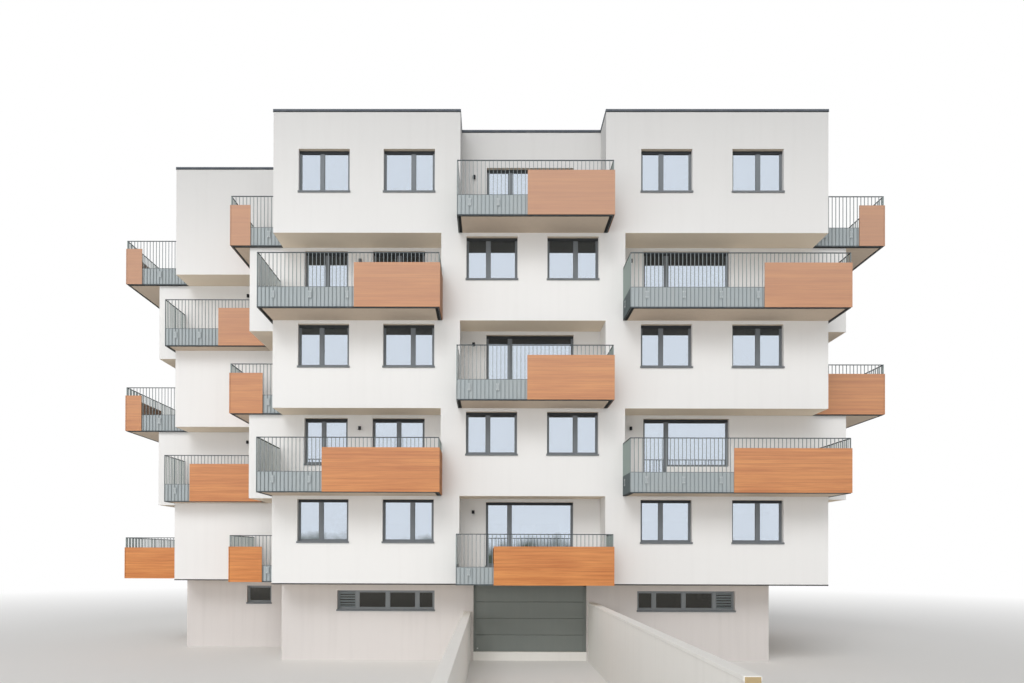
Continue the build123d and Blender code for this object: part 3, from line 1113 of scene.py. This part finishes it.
# The stage: colours of the sky and the floor, lamps and camera
SKY_LIGHT = (0.97, 0.98, 1.0, 1)
SKY_STRENGTH = 0.28
SKY_IN_PANES = (0.86, 0.92, 1.0, 1)
GROUND_IN_PANES = (0.10, 0.12, 0.09, 1)
FLOOR_TONE = (0.85, 0.84, 0.82, 1)
FLOOR_IN_PANES = (0.2, 0.2, 0.18, 1)
FLOOR_FADES = (22, 60)
SUN_TURN = (50, 0, -18)
SUN_STRENGTH = 0.85
SUN_WIDTH = 30

# Name, place, size and power of the wide lamps, which point at the block's middle
SCREENS = (
    ("high_screen", (-5, -60, 42), (130, 36), 16000),
    ("low_screen", (-32, -60, 9), (110, 16), 11000),
    ("rear_screen", (0, 60, 42), (130, 36), 18000),
)
SCREEN_AIM = (0, 9, 8)
CAMERA_PLACE = (0.423, -33.219, 3.747)
CAMERA_TURN = (90.285, -0.161, 0.251)
CAMERA_LENS = 25.135
CAMERA_SHIFT = (0.02506, 0.20583)


class BLOCK_OT_stage(bpy.types.Operator):
    """Makes the floor, the lights and the camera"""
    bl_idname = "block.stage"
    bl_label = "Stage"

    def execute(self, context):
        deselect()
        bpy.ops.mesh.primitive_plane_add(size=600, location=(0, 0, -0.002))
        floor = context.object
        floor.name = "stage_floor"
        floor.data.materials.append(stage_material())
        make_sky(context.scene)
        add_lamps()
        set_camera(context)
        context.scene.view_settings.view_transform = "Standard"
        return {"FINISHED"}


def stage_material():
    """A pale floor that turns into the white background, and keeps the block's shadow."""
    material, tree, shader = new_material("stage_floor")
    shader["Roughness"].default_value = 0.95
    path = tree.nodes.new("ShaderNodeLightPath").outputs
    # Painted reflection: mirror rays see the floor darker than it is.
    tone = mix(tree, path["Is Glossy Ray"], FLOOR_TONE, FLOOR_IN_PANES)
    tree.links.new(tone, shader["Base Color"])
    where = tree.nodes.new("ShaderNodeTexCoord")
    reach = tree.nodes.new("ShaderNodeVectorMath")
    reach.operation = "LENGTH"
    tree.links.new(where.outputs["Object"], reach.inputs[0])
    faded = span(tree, reach.outputs["Value"], *FLOOR_FADES)
    white = tree.nodes.new("ShaderNodeEmission")
    blend = tree.nodes.new("ShaderNodeMixShader")
    tree.links.new(calc(tree, "MULTIPLY", faded, path["Is Camera Ray"]), blend.inputs[0])
    tree.links.new(tree.nodes["Principled BSDF"].outputs[0], blend.inputs[1])
    tree.links.new(white.outputs[0], blend.inputs[2])
    tree.links.new(blend.outputs[0], tree.nodes["Material Output"].inputs["Surface"])
    return material


def make_sky(scene):
    """An even sky, white to the camera, with a horizon where the panes mirror it."""
    world = bpy.data.worlds.new("pale_sky")
    scene.world = world
    world.use_nodes = True
    tree = world.node_tree
    path = tree.nodes.new("ShaderNodeLightPath").outputs
    way = tree.nodes.new("ShaderNodeTexCoord").outputs["Generated"]
    ripple = span(tree, noise(tree, way, 9, 4, 0.6), 0.3, 0.7, -0.025, 0.025)
    height = calc(tree, "ADD", split(tree, way)["Z"], ripple)
    mirrored = mix(tree, span(tree, height, 0.0, 0.02), GROUND_IN_PANES, SKY_IN_PANES)
    glossy = calc(tree, "MAXIMUM", path["Is Glossy Ray"], path["Is Transmission Ray"])
    bright = calc(tree, "MAXIMUM", path["Is Camera Ray"], glossy)
    shown = mix(tree, path["Is Camera Ray"], mirrored, (1, 1, 1, 1))
    even = calc(tree, "MULTIPLY", calc(tree, "SUBTRACT", 1.0, bright), SKY_STRENGTH)
    sky = tree.nodes["Background"].inputs
    tree.links.new(mix(tree, bright, SKY_LIGHT, shown), sky["Color"])
    tree.links.new(calc(tree, "ADD", even, bright), sky["Strength"])


def add_lamp(kind, name, energy, turn, place=(0, 0, 0)):
    """A soft lamp that the panes don't show."""
    deselect()
    bpy.ops.object.light_add(type=kind, location=place, rotation=turn)
    lamp = bpy.context.object
    lamp.name = name
    lamp.data.energy = energy
    lamp.visible_glossy = False
    lamp.visible_transmission = False
    return lamp


def add_lamps():
    """A weak wide sun and wide screens before and behind the block."""
    sun = add_lamp("SUN", "soft_sun", SUN_STRENGTH, [math.radians(angle) for angle in SUN_TURN])
    sun.data.angle = math.radians(SUN_WIDTH)
    for name, place, size, power in SCREENS:
        aim_x, aim_y, aim_z = SCREEN_AIM
        aim = Vector((aim_x, math.copysign(aim_y, place[1]), aim_z)) - Vector(place)
        screen = add_lamp("AREA", name, power, aim.to_track_quat("-Z", "Y").to_euler(), place)
        screen.data.shape = "RECTANGLE"
        screen.data.size, screen.data.size_y = size
        screen.visible_camera = False


def set_camera(context):
    """A camera in front of the garage, with its view shifted up to hold the building."""
    deselect()
    turn = [math.radians(angle) for angle in CAMERA_TURN]
    bpy.ops.object.camera_add(location=CAMERA_PLACE, rotation=turn)
    camera = context.object
    camera.data.sensor_width = 36
    camera.data.lens = CAMERA_LENS
    camera.data.shift_x, camera.data.shift_y = CAMERA_SHIFT
    camera.data.clip_end = 1000
    context.scene.camera = camera


STEPS = (
    BLOCK_OT_surfaces,
    BLOCK_OT_sashes,
    BLOCK_OT_heads,
    BLOCK_OT_sills,
    BLOCK_OT_edges,
    BLOCK_OT_bars,
    BLOCK_OT_railing_parts,
    BLOCK_OT_lamps,
    BLOCK_OT_garage_door,
    BLOCK_OT_louvres,
    BLOCK_OT_copings,
    BLOCK_OT_decks,
    BLOCK_OT_stage,
)


class BLOCK_PT_panel(bpy.types.Panel):
    """Lists the steps that dress the building"""
    bl_label = "Apartment block"
    bl_idname = "BLOCK_PT_panel"
    bl_space_type = "VIEW_3D"
    bl_region_type = "UI"
    bl_category = "Block"

    def draw(self, context):
        for step in STEPS:
            self.layout.operator(step.bl_idname)
        for settings in (context.scene.block_finish, context.scene.block_sizes):
            for label in settings.__annotations__:
                self.layout.prop(settings, label)


CLASSES = (BlockFinish, BlockSizes, *STEPS, BLOCK_PT_panel)


def register():
    for thing in CLASSES:
        bpy.utils.register_class(thing)
    bpy.types.Scene.block_finish = bpy.props.PointerProperty(type=BlockFinish)
    bpy.types.Scene.block_sizes = bpy.props.PointerProperty(type=BlockSizes)


def unregister():
    del bpy.types.Scene.block_sizes
    del bpy.types.Scene.block_finish
    for thing in reversed(CLASSES):
        bpy.utils.unregister_class(thing)


def main():
    register()
    for step in STEPS:
        group, name = step.bl_idname.split(".")
        getattr(getattr(bpy.ops, group), name)()


if __name__ == "__main__":
    main()
